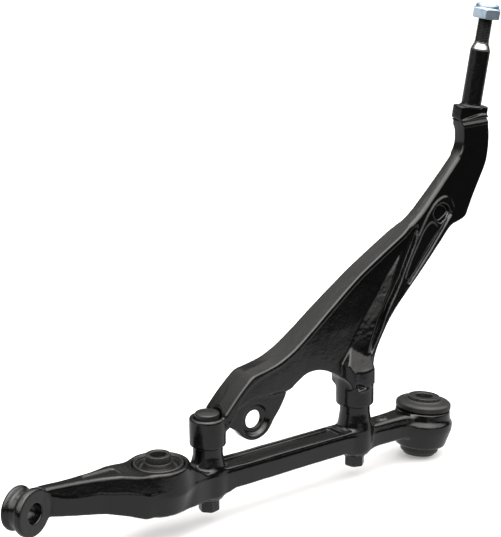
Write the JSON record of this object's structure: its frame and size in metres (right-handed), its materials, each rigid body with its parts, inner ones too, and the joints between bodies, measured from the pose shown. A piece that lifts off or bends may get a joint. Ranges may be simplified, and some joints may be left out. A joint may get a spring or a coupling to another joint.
{
  "type": "front lower control arm with radius arm",
  "caption": "Forged lower control arm with a bolted-on radius arm, a ball-joint eye, a damper-fork bush, an inner pivot bush and a threaded front stud with its nut.",
  "frame": {"origin": "centre of the inner pivot bush, on its bore axis halfway along its inner sleeve", "axes": "+Z along the damper-fork bush bore and the two clamping bolts; +X from the ball joint towards the inner pivot; +Y across the link"},
  "size_m": [0.4625, 0.05, 0.3677],
  "materials": {
    "black_forging": "glossy black paint over a forged skin",
    "black_steel": "black coated steel",
    "sleeve_steel": "dark coated steel sleeve",
    "rubber": "satin black rubber",
    "zinc": "bright blue-white zinc plate",
    "nylon": "white nylon locking ring"
  },
  "bodies": {
    "arm": {"lower_link": "black_forging", "radius_arm": "black_forging", "radius_bolt_left": "black_steel", "radius_bolt_right": "black_steel", "boss_plug": "black_steel", "fork_bush_outer": "sleeve_steel", "fork_bush_rubber": "rubber", "pivot_bush_outer": "sleeve_steel", "pivot_bush_rubber": "rubber"},
    "fork_sleeve": {"fork_bush_inner": "sleeve_steel"},
    "pivot_sleeve": {"pivot_bush_inner": "sleeve_steel"},
    "nut_carrier": {"nut_insert": "nylon"},
    "nut": {"stud_nut": "zinc"}
  },
  "joints": [
    {"name": "pivot_twist", "type": "hinge", "parent": "arm", "child": "pivot_sleeve", "pos_m": [0, 0, 0], "axis": [0.1045, 0, 0.9945], "range_deg": [-25, 25], "stiffness_Nm_per_rad": 60},
    {"name": "fork_twist", "type": "hinge", "parent": "arm", "child": "fork_sleeve", "pos_m": [-0.261, 0, 0.0175], "axis": [0, 0, 1], "range_deg": [-20, 20], "stiffness_Nm_per_rad": 40},
    {"name": "nut_travel", "type": "slide", "parent": "arm", "child": "nut_carrier", "axis": [0.1302, -0.0698, 0.989], "range_m": [-0.0201, 0.0051]},
    {"name": "nut_spin", "type": "hinge", "parent": "nut_carrier", "child": "nut", "pos_m": [0.048, 0, 0.26], "axis": [0.1302, -0.0698, 0.989], "range_deg": [-5760, 1440]}
  ],
  "couplings": [
    {"joint": "nut_travel", "follows": "nut_spin", "m_per_rad": 0.00019894}
  ]
}
